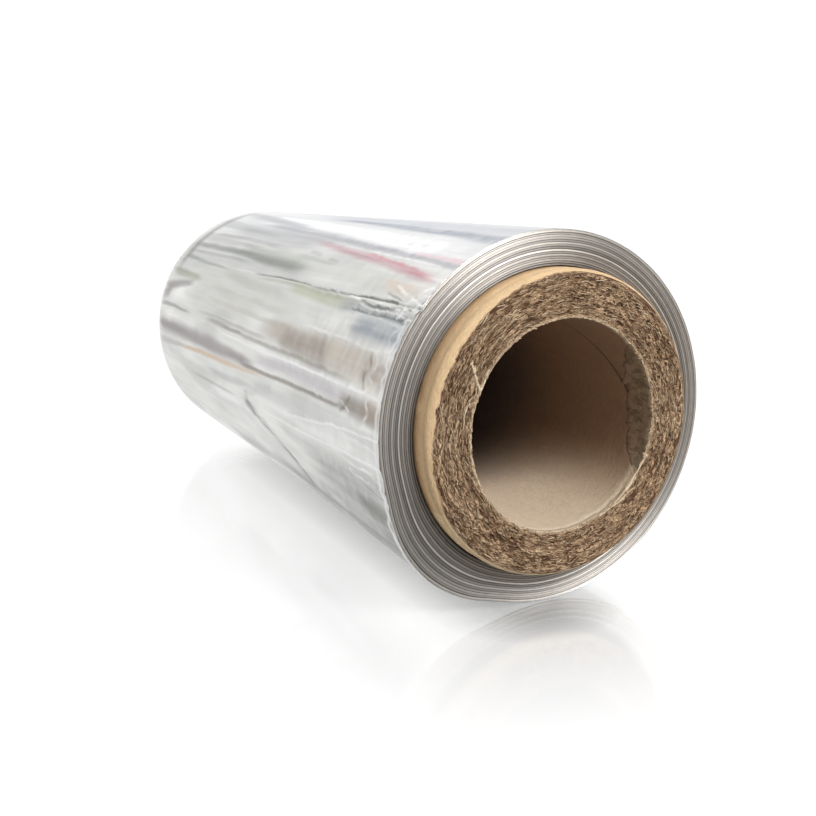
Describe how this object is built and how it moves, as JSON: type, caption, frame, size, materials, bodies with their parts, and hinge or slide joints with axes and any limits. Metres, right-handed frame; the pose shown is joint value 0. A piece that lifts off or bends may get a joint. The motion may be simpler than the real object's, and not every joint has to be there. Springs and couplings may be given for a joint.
{
  "type": "aluminium foil roll",
  "caption": "Wide catering roll of aluminium foil wound on a thick cardboard core that stands out at both ends, its outer turn slightly loose at one end.",
  "frame": {"origin": "centre of the core's lower end, on the roll's axis, where the bore opens", "axes": "+Z along the roll's axis, towards the end at which the outer turn is loose; -Y towards the side that the picture shows"},
  "size_m": [0.1375, 0.1361, 0.323],
  "materials": {
    "cardboard": "wound brown paperboard, smooth outside, rough and fibrous where it is sawn",
    "foil": "bright rolled foil, mirror-like with wrinkles along the roll"
  },
  "bodies": {
    "root": {"cardboard_core": "cardboard", "foil_turns": "foil"}
  },
  "joints": []
}
